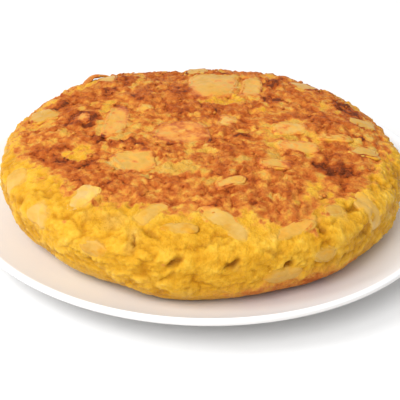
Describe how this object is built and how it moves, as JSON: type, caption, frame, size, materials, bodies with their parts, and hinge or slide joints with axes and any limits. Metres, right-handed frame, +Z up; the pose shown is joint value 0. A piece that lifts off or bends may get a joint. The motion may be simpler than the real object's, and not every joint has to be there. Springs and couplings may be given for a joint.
{
  "type": "spanish omelette",
  "caption": "Whole round Spanish omelette of egg and potato, browned on top, resting on its shallow round plate.",
  "frame": {"origin": "middle of the plate's foot ring, at table level", "axes": "+Z up; -Y towards the viewer of the picture; +X to the viewer's right"},
  "size_m": [0.2698, 0.2698, 0.0571],
  "materials": {
    "egg": "cooked egg, yellow inside, browned on top, softly glossy",
    "potato": "soft cooked potato, slightly translucent and glossy",
    "porcelain": "smooth white glaze"
  },
  "bodies": {
    "root": {"omelette_egg": "egg", "plate": "porcelain", "potato_back_01": "potato", "potato_back_02": "potato", "potato_back_03": "potato", "potato_back_04": "potato", "potato_back_05": "potato", "potato_back_06": "potato", "potato_back_07": "potato", "potato_back_08": "potato", "potato_back_09": "potato", "potato_back_10": "potato", "potato_side_front_band": "potato", "potato_side_front_crescent": "potato", "potato_side_front_left_block": "potato", "potato_side_front_right_band": "potato", "potato_side_front_slant": "potato", "potato_side_left_low": "potato", "potato_side_left_oval": "potato", "potato_side_low_front": "potato", "potato_side_low_left": "potato", "potato_side_low_right": "potato", "potato_side_right_chip": "potato", "potato_side_right_oval": "potato", "potato_top_beside_oval": "potato", "potato_top_far_right_sliver": "potato", "potato_top_front_strip": "potato", "potato_top_in_the_curl": "potato", "potato_top_large_oval": "potato", "potato_top_left_front": "potato", "potato_top_middle_chip": "potato", "potato_top_middle_slice": "potato", "potato_top_right_edge": "potato", "potato_top_right_middle": "potato", "potato_top_right_strip": "potato", "potato_top_right_upper": "potato", "potato_top_small_left": "potato", "potato_top_tall_curved": "potato"}
  },
  "joints": []
}
